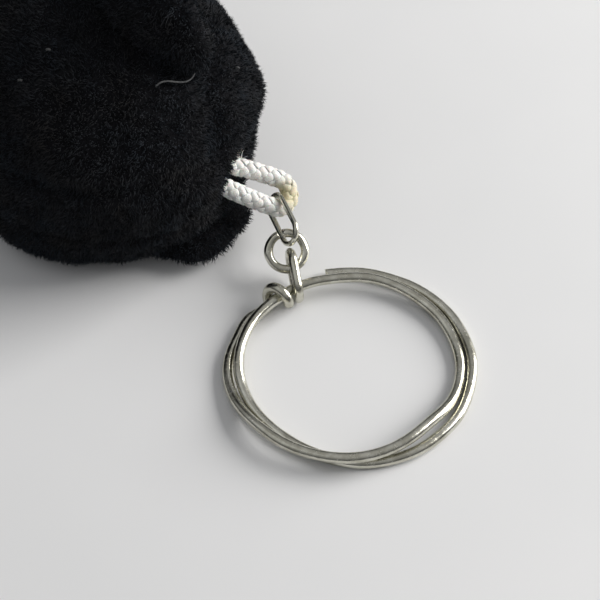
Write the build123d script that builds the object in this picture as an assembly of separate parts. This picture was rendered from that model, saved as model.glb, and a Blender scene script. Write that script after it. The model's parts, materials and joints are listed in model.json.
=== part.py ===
"""Plush bear on a cord, with a jump ring, two chain links and a loose coil key ring.

The bear lies on its right side.  +X runs from its feet to the top of its head, +Y is the way its face looks
and +Z is up, towards its left side.  The origin is on the resting plane below the middle of the head.
All sizes are millimetres.
"""
from build123d import *
from math import acos, cos, degrees, radians, sin, sqrt
import os

# ---- driving dimensions -------------------------------------------------------------------------------
MID = 13.5               # height of the bear's plane of symmetry above the table
FABRIC = 1.2             # thickness of the short pile fabric
GAP = 0.1                # room between pieces that touch
SEWN_GAP = 0.55          # room at a sewn joint, so that the limb can swing

HEAD_LONG = 21.5         # half length of the head, along X
HEAD_ROUND = 19.75       # half width of the head
GUSSET_WIDTH = 8.8       # strip over the middle of the head
TORSO_CENTRE_X = -41.0
TORSO_LONG = 19.05
TORSO_ROUND = 14.5

MUZZLE_X = -5.0
MUZZLE_RADIUS = 7.5
MUZZLE_REACH = 6.5
MUZZLE_Y = 17.5
NOSE_SIZE = (1.7, 1.5, 2.5)
NOSE_HIGH, NOSE_SUNK = 2.2, 0.6  # how far it sits above the muzzle's middle, and inside its surface
THREAD_RADIUS = 0.3
MOUTH_X = -6.6           # where the mouth's thread meets the one from the nose
MOUTH_HALF = 3.2         # half width of the mouth
MOUTH_BOW = 0.14         # how strongly it is bowed
EYE_X, EYE_SIDE = 3.0, 8.0
EYE_RADIUS = 2.2
EYE_STEM_RADIUS, EYE_STEM_LENGTH = 0.6, 4.0
WASHER_RADIUS, WASHER_THICKNESS = 3.0, 0.8
WASHER_ROOM = 0.2        # play round the washer and past the end of the stem

EAR_RADIUS, EAR_HALF_THICKNESS = 8.0, 2.8
EAR_ANGLE, EAR_REACH = 61.0, 19.7
LOWER_EAR = (12.0, -3.0)  # middle of the ear that is folded flat

ARM_LENGTH, ARM_RADIUS = 24.0, 5.6
LEG_LENGTH, LEG_RADIUS = 28.0, 6.5
ARM_X, LEG_X = -30.0, -52.0
ARM_LIFT, LEG_LIFT = 7.6, 6.7    # how far a limb's middle is above or below the plane of symmetry
ARM_POINTS, LEG_POINTS = 99.0, 94.0  # the way they point, in degrees from +X
ROOT_SHARE = 0.8         # thin end of a limb, as a share of its thick end
SOLE_RADIUS, SOLE_THICKNESS = 4.2, 0.8
TAIL_RADIUS, TAIL_X, TAIL_OUT = 5.0, -54.0, 2.0
LABEL_SIZE = (8.0, 0.3, 6.0)
LABEL_X, LABEL_SUNK = -47.0, 0.3

CORD_RADIUS = 1.15       # braided cord
STRAND_APART = 1.32      # half the spacing of the two strands where they leave the seam
BIGHT_RADIUS = 1.95      # half the spacing of the strands at the far end of the loop
CORD_ROOT = Vector(18.1, 0, 11.5)
CORD_END = Vector(24.9, 5.8, 6.0)
CORD_SPLIT = 3.4         # length of the part that is held by the seam and whipping
CORD_INSIDE = 4.5        # length of each strand inside the head
KNOT_RADIUS = 2.6
KNOT_ROOM = 0.5          # room round the knot
KNOT_APART = 0.45        # gap between the knot's strands and the ones outside
CORD_ROOM = 0.7          # room round the cord in the head
CHANNEL_FLARE = 0.7      # how much wider that room is towards its mouth
CHANNEL_OUT = 7.0        # how far that room runs out along the cord

JUMP_WIRE = 0.35         # wire radii
LINK_WIRE = 0.55
OVAL_WIRE = 0.6
COIL_WIRE = 0.65
JUMP_INSIDE = 1.25       # inner radius of the jump ring's round ends
OVAL_INSIDE = 1.0
LINK_RADIUS = 2.25       # centre line radius of the round link
LINK_CUT = 14.0          # width of the cut in the round link, in degrees
OVAL_STRAIGHT = 2.6      # length of the oval link's straight sides
OVAL_SLACK = 0.8         # play between the oval link's end and the round link
JUMP_SLACK = 0.3         # play between the jump ring's end and the round link

COIL_CENTRE = Vector(43.4, -8.0, 0)
COIL_OUTER = 14.35       # centre line radius of the outer turn
COIL_INNER = 12.9        # radius of whichever turn lies inside the other
COIL_EYE = 12.3          # where the wire steps in to the link
COIL_CURL = 13.32        # where the inner end starts to curl round the first turn
COIL_LIFT = 1.43         # rise of the wire where the link passes below it
COIL_OVAL = 0.3          # how far the coil is out of round
COIL_LONG_WAY = 35.0     # direction in which it is widest, from +X
COIL_START = 136.0       # direction of the free end, from +X
COIL_TURN = 684.0        # degrees of wire before the curl, clockwise seen from above
HANG_ANGLE = 156.0       # where the oval link hangs on the coil
HANG_AFTER = COIL_START - HANG_ANGLE + 360
CURL_RADIUS = 1.42       # centre line radius of the curl
CURL_TURN = 240          # how far the curl goes round, in degrees
CURL_ADVANCE = 5.0       # how far it moves along the coil, in degrees
CURL_FROM = -54.0        # where the curl starts round the first turn, in degrees from outward
CURL_RISE = 0.25         # rise of the wire just before the curl

HEAD_CENTRE = Vector(0, 0, MID)
TORSO_CENTRE = Vector(TORSO_CENTRE_X, 0, MID)


def heading(azimuth, rise):
    """Unit vector from its direction in plan and its angle above the table, in degrees."""
    a, r = radians(azimuth), radians(rise)
    return Vector(cos(a) * cos(r), sin(a) * cos(r), sin(r))


# Directions of the chain at rest.
OVAL_ALONG = heading(-43.0, -24.8)    # from the round link down to the coil
LINK_NORMAL = heading(-55.0, 52.0)    # the round link lies flat to this direction
LINK_RIGHT = heading(35.0, 0.0)
LINK_UP = LINK_NORMAL.cross(LINK_RIGHT)
OVAL_HANGS, JUMP_HANGS = -70.0, 80.0  # where its neighbours hang on the round link


def smooth_step(value, start, end):
    """Rises smoothly from 0 at start to 1 at end."""
    share = max(0.0, min(1.0, (value - start) / (end - start)))
    return (1 - cos(radians(180 * share))) / 2


def coil_radius(angle):
    """Centre line radius of the key ring wire, angle degrees after its free end."""
    out_of_round = COIL_OVAL * cos(radians(2 * (COIL_START - angle - COIL_LONG_WAY)))
    first_in = smooth_step(angle, 168, 235)
    to_eye = smooth_step(angle, 275, 342)
    from_eye = smooth_step(angle, 348, 400)
    second_out = smooth_step(angle, 500, 560)
    to_curl = smooth_step(angle, 625, COIL_TURN)
    return (
        COIL_OUTER
        + out_of_round
        - (COIL_OUTER - COIL_INNER) * (first_in - second_out)
        - (COIL_INNER - COIL_EYE) * (to_eye - from_eye)
        - (COIL_OUTER - COIL_CURL) * to_curl
    )


def coil_height(angle):
    """Height of the wire: it rests on the table, but for the part lifted by the link and a crossing."""
    at_link = smooth_step(angle, 230, HANG_AFTER) * (1 - smooth_step(angle, HANG_AFTER + 10, 460))
    over_first = smooth_step(angle, 465, 512) * (1 - smooth_step(angle, 588, 635))
    at_curl = CURL_RISE * smooth_step(angle, 650, COIL_TURN)
    return COIL_WIRE + COIL_LIFT * (at_link + over_first) + at_curl


def coil_point(angle):
    direction = radians(COIL_START - angle)
    radius = coil_radius(angle)
    return COIL_CENTRE + Vector(radius * cos(direction), radius * sin(direction), coil_height(angle))


COIL_HANG = coil_point(HANG_AFTER)
COIL_ALONG = (coil_point(HANG_AFTER + 3) - coil_point(HANG_AFTER - 3)).normalized()
# The oval link's ends are centred a little inside the wires that they carry.
OVAL_LOW = COIL_HANG - OVAL_ALONG * (OVAL_INSIDE - COIL_WIRE - GAP / 2)
OVAL_HIGH = OVAL_LOW - OVAL_ALONG * OVAL_STRAIGHT
OVAL_HANG = OVAL_HIGH - OVAL_ALONG * (OVAL_INSIDE - LINK_WIRE - OVAL_SLACK)


def on_link(angle):
    """Direction from the round link's centre to its wire."""
    a = radians(angle)
    return LINK_RIGHT * cos(a) + LINK_UP * sin(a)


# The oval link turns its flat side halfway between the two wires that it carries.
OVAL_FACES = on_link(OVAL_HANGS + 90) + COIL_ALONG
OVAL_NORMAL = OVAL_FACES - OVAL_ALONG * OVAL_FACES.dot(OVAL_ALONG)
LINK_CENTRE = OVAL_HANG - on_link(OVAL_HANGS) * LINK_RADIUS
JUMP_HANG = LINK_CENTRE + on_link(JUMP_HANGS) * LINK_RADIUS

CORD_ALONG = (CORD_END - CORD_ROOT).normalized()
CORD_LENGTH = (CORD_END - CORD_ROOT).length
CORD_SIDE = Vector(-0.484, 0.781, 0.396)
CORD_ACROSS = (CORD_SIDE - CORD_ALONG * CORD_ALONG.dot(CORD_SIDE)).normalized()
BIGHT_AT = CORD_LENGTH - BIGHT_RADIUS
HANG_TURN = 14.0         # how far round the bight the jump ring hangs, in degrees


def on_cord(along, across):
    return CORD_ROOT + CORD_ALONG * along + CORD_ACROSS * across


CORD_HANG = on_cord(
    BIGHT_AT + BIGHT_RADIUS * sin(radians(HANG_TURN)), -BIGHT_RADIUS * cos(radians(HANG_TURN))
)
JUMP_ALONG = (JUMP_HANG - CORD_HANG).normalized()
JUMP_STRAIGHT = (JUMP_HANG - CORD_HANG).length - (JUMP_INSIDE - LINK_WIRE - JUMP_SLACK)
CORD_TANGENT = CORD_ALONG * cos(radians(HANG_TURN)) + CORD_ACROSS * sin(radians(HANG_TURN))
JUMP_NORMAL = CORD_TANGENT - JUMP_ALONG * CORD_TANGENT.dot(JUMP_ALONG)


# ---- general shapes -----------------------------------------------------------------------------------
def spheroid(along, side):
    """Ball stretched along X, with half length `along` and half width `side`."""
    return scale(Sphere(side), by=(along / side, 1, 1))


def above(body, height):
    return split(body, bisect_by=Plane.XY.offset(height), keep=Keep.TOP)


def below(body, height):
    return split(body, bisect_by=Plane.XY.offset(height), keep=Keep.BOTTOM)


def squashed(centre, along, side, inset):
    """A stuffed body lying on the table, with its surface moved in by `inset`."""
    body = Pos(*centre) * spheroid(along - inset, side - inset)
    return above(body, inset)


def capsule(start, end, radius):
    """Round ended bar between two points."""
    path = Line(start, end)
    plane = Plane(origin=start, z_dir=(end - start).normalized())
    bar = plane * Cylinder(radius, path.length, align=(Align.CENTER, Align.CENTER, Align.MIN))
    return bar + Pos(*start) * Sphere(radius) + Pos(*end) * Sphere(radius)


def limb_shape(start, direction, length, radius, inset):
    """A stuffed limb: an egg with its thick end away from the body."""
    thin = radius * ROOT_SHARE - inset
    thick = radius - inset
    root = start + direction * (inset + thin)
    foot = start + direction * (length - inset - thick)
    span = (foot - root).length
    lean = acos((thick - thin) / span)
    low, high = Vector(-thin, 0), Vector(span + thick, 0)
    touch_low = Vector(-thin * cos(lean), thin * sin(lean))
    touch_high = Vector(span - thick * cos(lean), thick * sin(lean))
    outline = [
        Line(high, low),
        ThreePointArc(low, Vector(-thin * cos(lean / 2), thin * sin(lean / 2)), touch_low),
        Line(touch_low, touch_high),
        ThreePointArc(touch_high, Vector(span + thick * sin(radians(20)), thick * cos(radians(20))), high),
    ]
    body = revolve(make_face(outline), Axis.X)
    return Plane(origin=root, x_dir=direction, z_dir=(0, 0, 1)) * body


def wire_along(edges, radius):
    """Round wire that follows the edges."""
    path = Wire(edges)
    section = Plane(origin=path @ 0, z_dir=path % 0) * Circle(radius)
    return sweep(section, path=path)


def stadium(low, high, normal, centre_radius, wire):
    """Long ring of wire whose round ends are centred on two points."""
    along = (high - low).normalized()
    side = normal.normalized().cross(along) * centre_radius
    edges = [
        Line(low + side, high + side),
        ThreePointArc(high + side, high + along * centre_radius, high - side),
        Line(high - side, low - side),
        ThreePointArc(low - side, low - along * centre_radius, low + side),
    ]
    return wire_along(edges, wire)


# ---- head ---------------------------------------------------------------------------------------------
def head_solid(inset):
    return squashed(HEAD_CENTRE, HEAD_LONG, HEAD_ROUND, inset)


def head_surface(x, side):
    """Point and outward direction on the front of the head, `side` above or below its middle."""
    y = HEAD_ROUND * sqrt(1 - (x / HEAD_LONG) ** 2 - (side / HEAD_ROUND) ** 2)
    outward = Vector(x / HEAD_LONG**2, y / HEAD_ROUND**2, side / HEAD_ROUND**2)
    return Vector(x, y, MID + side), outward.normalized()


def cord_channel():
    """Room in the head for the cord and its knot."""
    end = CORD_ROOT - Vector(CORD_INSIDE, 0, 0)
    room = 2 * CORD_RADIUS + CORD_ROOM
    inner = capsule(CORD_ROOT, end, room)
    mouth = capsule(CORD_ROOT, on_cord(CHANNEL_OUT, 0), room + CHANNEL_FLARE)
    return inner + mouth + Pos(*knot_centre()) * Sphere(KNOT_RADIUS + KNOT_ROOM)


def knot_centre():
    return CORD_ROOT - Vector(CORD_INSIDE + KNOT_RADIUS, 0, 0)


def eye_plane(sign):
    point, outward = head_surface(EYE_X, sign * EYE_SIDE)
    return Plane(origin=point, z_dir=outward)


def head_panels():
    shell = head_solid(0) - head_solid(FABRIC)
    shell -= cord_channel()
    for sign in (-1, 1):
        shell -= eye_plane(sign) * Cylinder(EYE_STEM_RADIUS + GAP, 4 * FABRIC)
    half = GUSSET_WIDTH / 2
    left = above(shell, MID + half + GAP / 2)
    gusset = above(below(shell, MID + half - GAP / 2), MID - half + GAP / 2)
    right = below(shell, MID - half - GAP / 2)
    return {"head_left_panel": left, "head_gusset": gusset, "head_right_panel": right}


def head_stuffing():
    stuffing = head_solid(FABRIC + GAP) - cord_channel()
    pocket = WASHER_RADIUS + WASHER_ROOM
    for sign in (-1, 1):
        stuffing -= eye_plane(sign) * Cylinder(pocket, 2 * (EYE_STEM_LENGTH + 2 * WASHER_ROOM))
    return stuffing


def eye(sign):
    ball = Pos(0, 0, 0.3 * EYE_RADIUS) * Sphere(EYE_RADIUS)
    bead = above(ball, GAP)
    stem = Cylinder(EYE_STEM_RADIUS, EYE_STEM_LENGTH + 1, align=(Align.CENTER, Align.CENTER, Align.MAX))
    return eye_plane(sign) * (bead + Pos(0, 0, 1) * stem)


def eye_washer(sign):
    disc = Cylinder(WASHER_RADIUS, WASHER_THICKNESS) - Cylinder(EYE_STEM_RADIUS + 0.03, 2)
    return eye_plane(sign) * Pos(0, 0, -(FABRIC + 0.35 + WASHER_THICKNESS / 2)) * disc


def muzzle_full():
    return Pos(MUZZLE_X, MUZZLE_Y, MID) * Rot(0, 0, 90) * spheroid(MUZZLE_REACH, MUZZLE_RADIUS)


def nose_full(extra):
    body = scale(Sphere(1), by=tuple(size + extra for size in NOSE_SIZE))
    return Pos(MUZZLE_X + NOSE_HIGH, MUZZLE_Y + MUZZLE_REACH - NOSE_SUNK, MID) * body


def muzzle():
    return muzzle_full() - head_solid(-GAP) - nose_full(GAP)


def mouth_thread():
    """Thread that runs down from the nose and curves to both sides, just clear of the muzzle."""
    def on_muzzle(x, side):
        share = 1 - ((x - MUZZLE_X) ** 2 + side**2) / MUZZLE_RADIUS**2
        point = Vector(x, MUZZLE_Y + MUZZLE_REACH * sqrt(share), MID + side)
        forward = (point.Y - MUZZLE_Y) / MUZZLE_REACH**2
        outward = Vector((x - MUZZLE_X) / MUZZLE_RADIUS**2, forward, side / MUZZLE_RADIUS**2)
        return point + outward.normalized() * (THREAD_RADIUS + GAP)

    sides = [MOUTH_HALF * step / 2 for step in (-2, -1, 0, 1, 2)]
    smile = Spline(*[on_muzzle(MOUTH_X + MOUTH_BOW * side**2, side) for side in sides])
    stem = Spline(*[on_muzzle(MOUTH_X + rise, 0) for rise in (2, 1, 0)])
    return wire_along([smile], THREAD_RADIUS) + wire_along([stem], THREAD_RADIUS)


def ear(side):
    """A flat round pad sewn to the head; the one below is folded flat on the table."""
    pad = spheroid(EAR_HALF_THICKNESS, EAR_RADIUS)
    if side > 0:
        a = radians(EAR_ANGLE)
        place = Pos(EAR_REACH * cos(a), 0, MID + EAR_REACH * sin(a)) * Rot(0, 0, 90)
    else:
        place = Pos(*LOWER_EAR, EAR_HALF_THICKNESS + GAP) * Rot(0, 90, 0)
    return place * pad - head_solid(-GAP) - cord_channel()


# ---- torso and limbs ----------------------------------------------------------------------------------
def torso_solid(inset):
    return squashed(TORSO_CENTRE, TORSO_LONG, TORSO_ROUND, inset)


def torso_panels():
    shell = torso_solid(0) - torso_solid(FABRIC)
    seam = Plane(origin=TORSO_CENTRE, x_dir=(1, 0, 0), z_dir=(0, 1, 0))
    front = split(shell, bisect_by=seam.offset(GAP / 2), keep=Keep.TOP)
    back = split(shell, bisect_by=seam.offset(-GAP / 2), keep=Keep.BOTTOM)
    return {"torso_front_panel": front, "torso_back_panel": back}


def torso_surface(x, lift):
    """Front of the torso at a height above its middle."""
    radius = TORSO_ROUND * sqrt(1 - ((x - TORSO_CENTRE_X) / TORSO_LONG) ** 2)
    return Vector(x, sqrt(radius**2 - lift**2), MID + lift)


def limb_place(x, lift, length, radius, reach):
    """Where a limb starts at its sewn joint and the way it points, clear of the torso."""
    pivot = torso_surface(x, lift)
    direction = heading(reach, 0)
    outward = Vector(0, pivot.Y, lift).normalized()
    clear = radius * ROOT_SHARE * (1 / direction.dot(outward) - 1)
    return pivot + direction * (SEWN_GAP + clear), direction, length, radius


LIMBS = {
    "arm_left": limb_place(ARM_X, ARM_LIFT, ARM_LENGTH, ARM_RADIUS, ARM_POINTS),
    "arm_right": limb_place(ARM_X, -ARM_LIFT, ARM_LENGTH, ARM_RADIUS, ARM_POINTS),
    "leg_left": limb_place(LEG_X, LEG_LIFT, LEG_LENGTH, LEG_RADIUS, LEG_POINTS),
    "leg_right": limb_place(LEG_X, -LEG_LIFT, LEG_LENGTH, LEG_RADIUS, LEG_POINTS),
}


def limb_pieces(name):
    start, direction, length, radius = LIMBS[name]
    outer = limb_shape(start, direction, length, radius, 0)
    inner = limb_shape(start, direction, length, radius, FABRIC)
    stuffing = limb_shape(start, direction, length, radius, FABRIC + GAP)
    pieces = {name: outer - inner, name + "_stuffing": stuffing}
    if name.startswith("leg"):
        tip = Plane(origin=start + direction * length, z_dir=direction)
        disc = Cylinder(SOLE_RADIUS, SOLE_THICKNESS, align=(Align.CENTER, Align.CENTER, Align.MAX))
        sole = tip * Pos(0, 0, GAP) * disc
        pieces[name] = split(pieces[name], bisect_by=tip.offset(-SOLE_THICKNESS), keep=Keep.BOTTOM)
        pieces["foot_pad_" + name[4:]] = sole
    return pieces


def tail():
    """Round tail, flat where it is sewn to the back of the torso."""
    along = TAIL_X - TORSO_CENTRE_X
    back = -TORSO_ROUND * sqrt(1 - (along / TORSO_LONG) ** 2)
    outward = Vector(along / TORSO_LONG**2, back / TORSO_ROUND**2, 0).normalized()
    seat = Vector(TAIL_X, back, MID) + outward * GAP
    ball = above(Pos(0, 0, TAIL_OUT) * Sphere(TAIL_RADIUS), 0)
    return Plane(origin=seat, z_dir=outward) * ball


def side_label():
    """Blank tab of woven tape caught in the seam on the upper side of the torso."""
    top = MID + TORSO_ROUND * sqrt(1 - ((LABEL_X - TORSO_CENTRE_X) / TORSO_LONG) ** 2)
    tab = Pos(LABEL_X, 0, top + LABEL_SIZE[2] / 2 - LABEL_SUNK) * Box(*LABEL_SIZE)
    return tab - torso_solid(-GAP)


def torso_stuffing():
    return torso_solid(FABRIC + GAP)


# ---- cord and metal -----------------------------------------------------------------------------------
def strand_offset(along):
    """Half the spacing of the strands, which opens smoothly towards the bight."""
    share = max(0.0, min(1.0, along / BIGHT_AT))
    return STRAND_APART + (BIGHT_RADIUS - STRAND_APART) * sin(radians(90 * share))


def cord_knot():
    """The two strands inside the head and the knot that stops them."""
    centre = knot_centre()
    piece = Pos(*centre) * Sphere(KNOT_RADIUS)
    for sign in (-1, 1):
        outer = on_cord(-CORD_RADIUS - KNOT_APART, sign * STRAND_APART)
        inner = centre + CORD_ACROSS * sign * STRAND_APART
        piece += capsule(inner, outer, CORD_RADIUS)
    return piece


def cord_root():
    """The short length of both strands held together by the whipping at the seam."""
    piece = None
    for sign in (-1, 1):
        start = on_cord(CORD_RADIUS, sign * STRAND_APART)
        end = on_cord(CORD_SPLIT, sign * STRAND_APART)
        strand = capsule(start, end, CORD_RADIUS)
        piece = strand if piece is None else piece + strand
    whipping = capsule(on_cord(CORD_RADIUS + 0.2, -0.3), on_cord(CORD_RADIUS + 0.2, 0.3), CORD_RADIUS * 0.8)
    return piece + whipping


def cord_loop():
    """The open loop, from the whipping round the bight and back."""
    start = CORD_SPLIT + 2 * CORD_RADIUS + 0.2
    low = [on_cord(a, -strand_offset(a)) for a in (start, (start + BIGHT_AT) / 2, BIGHT_AT)]
    high = [on_cord(a, strand_offset(a)) for a in (BIGHT_AT, (start + BIGHT_AT) / 2, start)]
    edges = [
        Spline(*low, tangents=[CORD_ALONG, CORD_ALONG]),
        ThreePointArc(low[-1], on_cord(CORD_LENGTH, 0), high[0]),
        Spline(*high, tangents=[-CORD_ALONG, -CORD_ALONG]),
    ]
    loop = wire_along(edges, CORD_RADIUS)
    for sign in (-1, 1):
        loop += Pos(*on_cord(start, sign * strand_offset(start))) * Sphere(CORD_RADIUS)
    return loop


def jump_ring():
    low = CORD_HANG
    high = CORD_HANG + JUMP_ALONG * JUMP_STRAIGHT
    return stadium(low, high, JUMP_NORMAL, JUMP_INSIDE + JUMP_WIRE, JUMP_WIRE)


def round_link():
    """Round link with a cut through it beside the jump ring."""
    plane = Plane(origin=LINK_CENTRE, x_dir=LINK_RIGHT, z_dir=LINK_NORMAL)
    start = JUMP_HANGS + 30 + LINK_CUT / 2
    arc = plane * CenterArc((0, 0), LINK_RADIUS, start, 360 - LINK_CUT)
    return wire_along([arc.edge()], LINK_WIRE)


def oval_link():
    return stadium(OVAL_HIGH, OVAL_LOW, OVAL_NORMAL, OVAL_INSIDE + OVAL_WIRE, OVAL_WIRE)


def key_ring():
    """One wire of almost two turns, whose inner end is curled round the first turn to keep it shut."""
    steps = 57
    points = [coil_point(COIL_TURN * i / steps) for i in range(steps + 1)]
    first_turn = COIL_TURN - 360
    for turn in range(30, CURL_TURN + 1, 30):
        centre = coil_point(first_turn + CURL_ADVANCE * sin(radians(90 * turn / CURL_TURN)))
        outward = Vector(centre.X - COIL_CENTRE.X, centre.Y - COIL_CENTRE.Y, 0).normalized()
        a = radians(CURL_FROM + turn)
        points.append(centre + (outward * cos(a) + Vector(0, 0, sin(a))) * CURL_RADIUS)
    return wire_along([Spline(*points)], COIL_WIRE)


def main():
    pieces = {}
    pieces.update(head_panels())
    pieces["head_stuffing"] = head_stuffing()
    pieces["muzzle"] = muzzle()
    pieces["nose"] = nose_full(0)
    pieces["mouth_thread"] = mouth_thread()
    for side, sign in (("left", 1), ("right", -1)):
        pieces["eye_" + side] = eye(sign)
        pieces["eye_washer_" + side] = eye_washer(sign)
        pieces["ear_" + side] = ear(sign)
    pieces.update(torso_panels())
    pieces["torso_stuffing"] = torso_stuffing()
    for name in LIMBS:
        pieces.update(limb_pieces(name))
    pieces["tail"] = tail()
    pieces["side_label"] = side_label()
    pieces["cord_knot"] = cord_knot()
    pieces["cord_root"] = cord_root()
    pieces["cord_loop"] = cord_loop()
    pieces["jump_ring"] = jump_ring()
    pieces["round_link"] = round_link()
    pieces["oval_link"] = oval_link()
    pieces["key_ring"] = key_ring()
    os.makedirs("parts", exist_ok=True)
    for name, shape in pieces.items():
        export_step(shape, "parts/" + name + ".step")


main()
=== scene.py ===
"""Looks of the plush bear keychain: cut pile over seamed cloth, braided cord and worn nickel links.

Shapes are worked out in millimetres in the row frame and turned into metres when a mesh is made.
"""
import bmesh
import bpy
import json
import math
import numpy as np
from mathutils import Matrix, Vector


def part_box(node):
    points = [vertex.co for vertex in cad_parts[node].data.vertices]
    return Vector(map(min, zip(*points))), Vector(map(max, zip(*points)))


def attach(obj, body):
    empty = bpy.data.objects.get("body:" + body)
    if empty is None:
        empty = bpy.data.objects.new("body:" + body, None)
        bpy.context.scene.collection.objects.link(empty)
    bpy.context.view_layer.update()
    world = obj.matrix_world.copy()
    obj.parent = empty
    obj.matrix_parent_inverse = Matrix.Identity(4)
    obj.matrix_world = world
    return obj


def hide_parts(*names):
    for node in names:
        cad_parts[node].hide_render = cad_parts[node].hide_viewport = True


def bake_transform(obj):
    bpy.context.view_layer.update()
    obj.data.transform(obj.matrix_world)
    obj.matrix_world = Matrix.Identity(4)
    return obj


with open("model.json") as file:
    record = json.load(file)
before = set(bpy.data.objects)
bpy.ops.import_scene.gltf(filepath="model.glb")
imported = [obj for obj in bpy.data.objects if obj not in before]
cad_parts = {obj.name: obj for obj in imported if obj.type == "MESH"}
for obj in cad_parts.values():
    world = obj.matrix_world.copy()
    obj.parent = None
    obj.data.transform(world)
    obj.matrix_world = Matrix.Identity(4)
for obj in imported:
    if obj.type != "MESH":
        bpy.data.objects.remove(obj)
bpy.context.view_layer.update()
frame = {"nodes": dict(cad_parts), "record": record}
MM = 0.001

# ---- places taken from the frame ----------------------------------------------------------------------


def corners(*nodes):
    """Lowest and highest corner of some CAD nodes together, in millimetres."""
    boxes = [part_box(node) for node in nodes]
    low = np.min([np.array(box[0]) for box in boxes], axis=0)
    high = np.max([np.array(box[1]) for box in boxes], axis=0)
    return low / MM, high / MM


def hinge(name):
    """Place (mm) and direction of a joint."""
    joint = next(joint for joint in frame["record"]["behaviour"]["joints"] if joint["name"] == name)
    axis = np.array(joint["axis"])
    return np.array(joint["pos_m"]) / MM, axis / np.linalg.norm(axis)


def round_size(low, high):
    """Half lengths along X, Y and Z of a body that is round about X and pressed flat below."""
    return np.array([high[0] - low[0], high[1] - low[1], high[1] - low[1]]) / 2


HEAD_LOW, HEAD_HIGH = corners("head_left_panel", "head_gusset", "head_right_panel")
HEAD_SIZE = round_size(HEAD_LOW, HEAD_HIGH)
MID = HEAD_HIGH[2] - HEAD_SIZE[2]
HEAD_CENTRE = np.array([(HEAD_LOW[0] + HEAD_HIGH[0]) / 2, 0, MID])
TORSO_LOW, TORSO_HIGH = corners("torso_front_panel", "torso_back_panel")
TORSO_SIZE = round_size(TORSO_LOW, TORSO_HIGH)
TORSO_CENTRE = np.array([(TORSO_LOW[0] + TORSO_HIGH[0]) / 2, 0, MID])
GUSSET_LOW, GUSSET_HIGH = corners("head_gusset")
NECK, _ = hinge("neck_nod")
CORD_ROOT, CORD_NORMAL = hinge("cord_swing")
CORD_BEND, CORD_ACROSS = hinge("cord_lift")
CORD_ALONG = np.cross(CORD_ACROSS, CORD_NORMAL)

# ---- driving sizes, in millimetres --------------------------------------------------------------------
PILE = 0.78              # length of the pile
PILE_WIDTH = 0.12
PILE_DENSITY = 17.0      # tufts on a square millimetre
TUFT_POINTS = 5
CLUMP_ACROSS = 2.6       # size of the clumps that lean together
TALL_ACROSS = 3.1        # size of the patches of longer and shorter pile
TALL_SHARE = 0.18        # how much longer the pile is there
COMB = (-0.6, -0.1, -0.5)    # the way most of the pile leans
COMB_LEAN, CLUMP_LEAN, STRAY_LEAN = 0.55, 0.5, 0.42
SEAM_DEPTH, SEAM_WIDTH = 0.7, 0.8
FLAT_SOFTNESS = 0.2      # how softly the bear is flattened by the table, in square millimetres
FILLING_INSIDE = 1.4     # the filling's distance inside the cloth
CORD_RADIUS = 1.15
BIGHT_RADIUS = 1.95      # half the spacing of the cord's strands at the bight
STRAND_APART = 1.32      # half their spacing at the root
BIGHT_AT = 8.57          # from the root to the start of the bight
YARNS = 4                # yarns that wind each way round the cord
BRAID_PITCH = 7.0
FINE = 6     # times that a ball's triangles are divided
COARSE = 5               # the same for the filling, which nobody sees


# ---- small tools --------------------------------------------------------------------------------------
def unit(vectors):
    """The vectors, made 1 long."""
    vectors = np.asarray(vectors, float)
    return vectors / np.maximum(np.linalg.norm(vectors, axis=-1, keepdims=True), 1e-9)


def lumps(points, size, seed, count=28):
    """Smooth random lumps about `size` across, mostly between -1 and 1."""
    random = np.random.default_rng(seed)
    ways = unit(random.normal(size=(count, 3))) * random.uniform(0.6, 1.4, (count, 1)) * 2 * np.pi / size
    phases = random.uniform(0, 2 * np.pi, count)
    return np.sin(points @ ways.T + phases).sum(axis=1) / math.sqrt(count)


def wavy(points, waves):
    """Sum of lumps, each given by its height, size and seed."""
    return sum(height * lumps(points, size, seed) for height, size, seed in waves)


def rises(value, start, end):
    """0 before start, 1 after end, smooth between."""
    share = np.clip((value - start) / (end - start), 0, 1)
    return share * share * (3 - 2 * share)


def bump(distance, width):
    """1 at no distance, falling smoothly to almost 0 at twice the width."""
    return np.exp(-((distance / width) ** 2))


def rest_on_table(points):
    """Presses points that fall below the table up on to it, with a rounded edge."""
    z = points[:, 2]
    points[:, 2] = (z + np.sqrt(z * z + FLAT_SOFTNESS)) / 2
    return points


def mesh_object(name, points, faces, material, body, smooth=True):
    """New piece from points in millimetres, riding on a CAD body."""
    mesh = bpy.data.meshes.new(name)
    mesh.from_pydata((np.asarray(points) * MM).tolist(), [], [list(map(int, face)) for face in faces])
    mesh.validate()
    mesh.materials.append(material)
    mesh.polygons.foreach_set("use_smooth", [smooth] * len(mesh.polygons))
    piece = bpy.data.objects.new(name, mesh)
    bpy.context.scene.collection.objects.link(piece)
    if body:
        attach(piece, body)
    return piece


def sphere_net(detail):
    """Directions and triangles of an evenly divided ball."""
    net = bmesh.new()
    bmesh.ops.create_icosphere(net, subdivisions=detail, radius=1)
    net.verts.ensure_lookup_table()
    points = np.array([v.co[:] for v in net.verts])
    faces = np.array([[v.index for v in f.verts] for f in net.faces])
    net.free()
    return unit(points), faces


NETS = {}


def net_of(detail):
    """The same, made only once for each fineness."""
    if detail not in NETS:
        NETS[detail] = sphere_net(detail)
    return NETS[detail]


def vertex_normals(points, faces):
    """Outward direction at each point of a mesh of triangles."""
    a, b, c = points[faces[:, 0]], points[faces[:, 1]], points[faces[:, 2]]
    flat = np.cross(b - a, c - a)
    normals = np.zeros_like(points)
    for i in range(3):
        np.add.at(normals, faces[:, i], flat)
    return unit(normals)


def only(points, faces, keep):
    """The part of a mesh whose faces are marked, without loose points."""
    faces = faces[keep]
    used = np.unique(faces)
    order = np.full(len(points), -1)
    order[used] = np.arange(len(used))
    return points[used], order[faces]


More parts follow.
